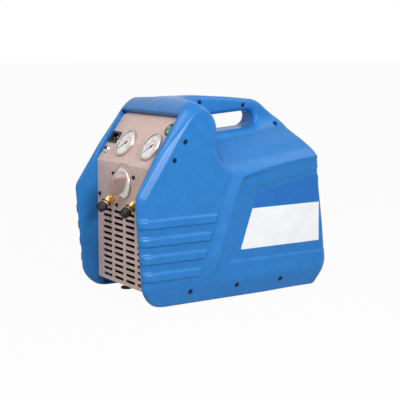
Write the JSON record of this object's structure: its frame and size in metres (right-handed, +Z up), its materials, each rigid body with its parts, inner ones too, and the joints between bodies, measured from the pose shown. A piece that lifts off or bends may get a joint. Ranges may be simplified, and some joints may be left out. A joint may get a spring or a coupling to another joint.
{
  "type": "refrigerant recovery machine",
  "caption": "portable machine that pumps refrigerant out of a cooling system, in a blue moulded case with a handle, gauges, mode knob and flare hose fittings",
  "frame": {"origin": "on the ground under the middle of the body", "axes": "+Z up, -Y is the front with the panel, +X is the right side seen from the front"},
  "size_m": [0.25, 0.4239, 0.3688],
  "materials": {
    "shell_blue": "fine moulded grain, satin",
    "panel_beige": "satin paint on sheet steel",
    "plated_steel": "zinc plated",
    "gauge_steel": "satin bezel",
    "dial_white": "matt white",
    "needle_red": "painted",
    "lens_clear": "clear",
    "screw_black": "black oxide",
    "rubber_black": "matt",
    "label_white": "printed film, bare",
    "knob_grey": "satin",
    "block_aluminium": "machined",
    "switch_black": "gloss",
    "rocker_green": "translucent",
    "brass": "turned",
    "cap_black": "moulded",
    "seal_rubber": "soft",
    "copper": "drawn copper tube",
    "iron_grey": "painted casting"
  },
  "bodies": {
    "machine": {"right_shell": "shell_blue", "left_shell": "shell_blue", "front_panel": "panel_beige", "rear_panel": "panel_beige", "base_plate": "plated_steel", "inlet_pins": "plated_steel", "breaker_body": "plated_steel", "condenser_ends": "plated_steel", "bearings": "plated_steel", "capacitor_clip": "plated_steel", "low_gauge_case": "gauge_steel", "high_gauge_case": "gauge_steel", "low_gauge_dial": "dial_white", "high_gauge_dial": "dial_white", "low_gauge_lens": "lens_clear", "high_gauge_lens": "lens_clear", "handle_screws": "screw_black", "rim_screws": "screw_black", "base_screws": "screw_black", "panel_screws": "screw_black", "rear_screws": "screw_black", "rubber_feet": "rubber_black", "isolators": "rubber_black", "side_labels": "label_white", "valve_body": "block_aluminium", "condenser_fins": "block_aluminium", "switch_body": "switch_black", "power_inlet": "switch_black", "pressure_switch": "switch_black", "capacitor": "switch_black", "inlet_fitting": "brass", "outlet_fitting": "brass", "inlet_filter": "brass", "fan_frame": "cap_black", "condenser_tubes": "copper", "suction_pipe": "copper", "discharge_pipe": "copper", "liquid_pipe": "copper", "gauge_pipes": "copper", "crankcase": "iron_grey", "cylinder_head": "iron_grey", "motor_can": "iron_grey", "end_bell": "iron_grey"},
    "knob": {"mode_knob": "knob_grey", "valve_stem": "plated_steel"},
    "rocker": {"switch_rocker": "rocker_green"},
    "reset": {"reset_button": "switch_black"},
    "low_needle": {"low_gauge_needle": "needle_red"},
    "high_needle": {"high_gauge_needle": "needle_red"},
    "inlet_seal": {"inlet_cap_seal": "seal_rubber", "inlet_cap_strap": "cap_black"},
    "inlet_cap": {"inlet_cap": "cap_black"},
    "outlet_seal": {"outlet_cap_seal": "seal_rubber", "outlet_cap_strap": "cap_black"},
    "outlet_cap": {"outlet_cap": "cap_black"},
    "fan": {"fan_rotor": "cap_black"},
    "crank": {"crankshaft": "plated_steel", "motor_rotor": "plated_steel"},
    "piston": {"piston": "block_aluminium", "connecting_rod": "block_aluminium"}
  },
  "joints": [
    {"name": "knob_turn", "type": "hinge", "parent": "machine", "child": "knob", "pos_m": [0, -0.1701, 0.214], "axis": [0, -1, 0], "range_deg": [-90, 90]},
    {"name": "rocker_tip", "type": "hinge", "parent": "machine", "child": "rocker", "pos_m": [0.087, -0.12257, 0.31239], "axis": [1, 0, 0], "range_deg": [-18, 0]},
    {"name": "reset_press", "type": "slide", "parent": "machine", "child": "reset", "axis": [0, 0.8192, -0.5736], "range_m": [0, 0.003], "stiffness_N_per_m": 400},
    {"name": "low_needle_swing", "type": "hinge", "parent": "machine", "child": "low_needle", "pos_m": [-0.03, -0.14601, 0.2824], "axis": [0, -0.8192, 0.5736], "range_deg": [-270, 0]},
    {"name": "high_needle_swing", "type": "hinge", "parent": "machine", "child": "high_needle", "pos_m": [0.062, -0.14601, 0.2824], "axis": [0, -0.8192, 0.5736], "range_deg": [-270, 0]},
    {"name": "fan_spin", "type": "hinge", "parent": "machine", "child": "fan", "pos_m": [0, -0.1056, 0.086], "axis": [0, 1, 0], "continuous": true},
    {"name": "crank_spin", "type": "hinge", "parent": "machine", "child": "crank", "pos_m": [0, -0.0056, 0.074], "axis": [0, 1, 0], "continuous": true},
    {"name": "piston_stroke", "type": "slide", "parent": "machine", "child": "piston", "axis": [0, 0, 1], "range_m": [-0.005, 0.005]},
    {"name": "inlet_cap_lift", "type": "slide", "parent": "machine", "child": "inlet_seal", "axis": [0, -0.7071, -0.7071], "range_m": [0, 0.00635]},
    {"name": "inlet_cap_turn", "type": "hinge", "parent": "inlet_seal", "child": "inlet_cap", "pos_m": [-0.045, -0.1766, 0.18], "axis": [0, -0.7071, -0.7071], "range_deg": [0, 1820]},
    {"name": "outlet_cap_lift", "type": "slide", "parent": "machine", "child": "outlet_seal", "axis": [0, -0.7071, -0.7071], "range_m": [0, 0.00635]},
    {"name": "outlet_cap_turn", "type": "hinge", "parent": "outlet_seal", "child": "outlet_cap", "pos_m": [0.045, -0.1766, 0.18], "axis": [0, -0.7071, -0.7071], "range_deg": [0, 1820]}
  ],
  "couplings": [
    {"joint": "inlet_cap_turn", "follows": "inlet_cap_lift", "rad_per_m": 4947.4},
    {"joint": "outlet_cap_turn", "follows": "outlet_cap_lift", "rad_per_m": 4947.4}
  ]
}
